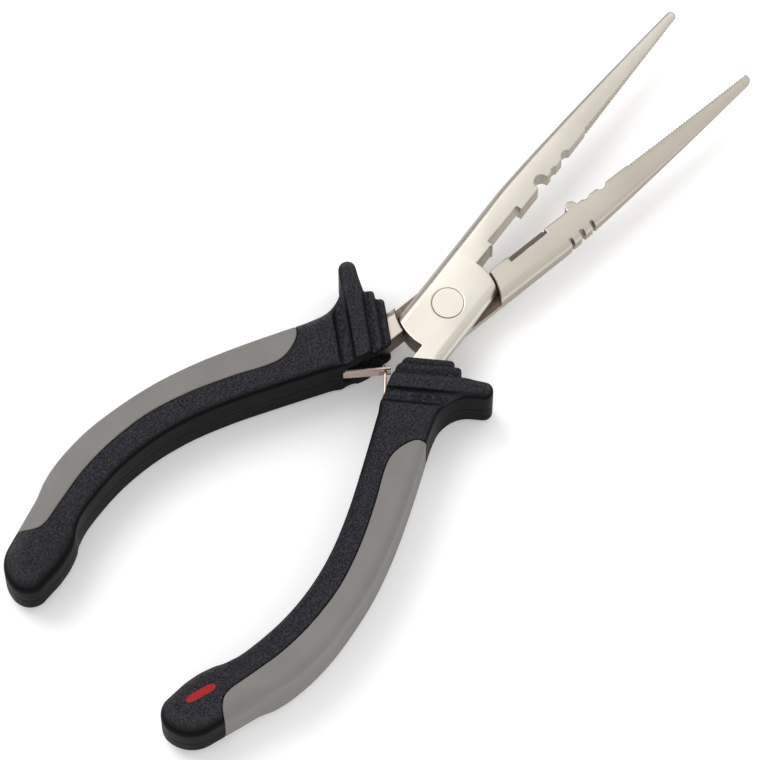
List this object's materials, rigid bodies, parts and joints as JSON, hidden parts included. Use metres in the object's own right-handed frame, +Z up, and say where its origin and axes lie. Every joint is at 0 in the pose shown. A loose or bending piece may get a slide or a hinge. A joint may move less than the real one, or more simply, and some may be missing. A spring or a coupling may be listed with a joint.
{
  "type": "fishing pliers",
  "caption": "Long-nose fishing pliers with a riveted lap joint, side cutters, crimping notches, toothed jaws, interlocking leaf springs and two-tone moulded grips.",
  "frame": {"origin": "centre of the pivot rivet's underside", "axes": "+X along the shut jaws to their tips, halfway between the open ones; +Y to the left; +Z up along the pivot axis"},
  "size_m": [0.214, 0.0778, 0.019],
  "materials": {
    "satin_steel": "satin nickel-plated steel, fine directional polish",
    "spring_steel": "spring strip, slightly coppery",
    "black_rubber": "fine leather grain on the flat faces, smoother walls",
    "grey_rubber": "smooth matt soft-touch"
  },
  "bodies": {
    "top_half": {"plier_half_top": "satin_steel", "pivot_rivet": "satin_steel", "right_grip_body": "black_rubber", "right_grip_insert": "grey_rubber", "leaf_spring_tongue": "spring_steel"},
    "bottom_half": {"plier_half_bottom": "satin_steel", "left_grip_body": "black_rubber", "left_grip_insert": "grey_rubber", "leaf_spring_forked": "spring_steel"}
  },
  "joints": [
    {"name": "pivot_hinge", "type": "hinge", "parent": "top_half", "child": "bottom_half", "pos_m": [0, 0, 0], "axis": [0, 0, 1], "range_deg": [-10, 13.4], "stiffness_Nm_per_rad": 2, "deforming": ["leaf_spring_tongue", "leaf_spring_forked"]}
  ]
}
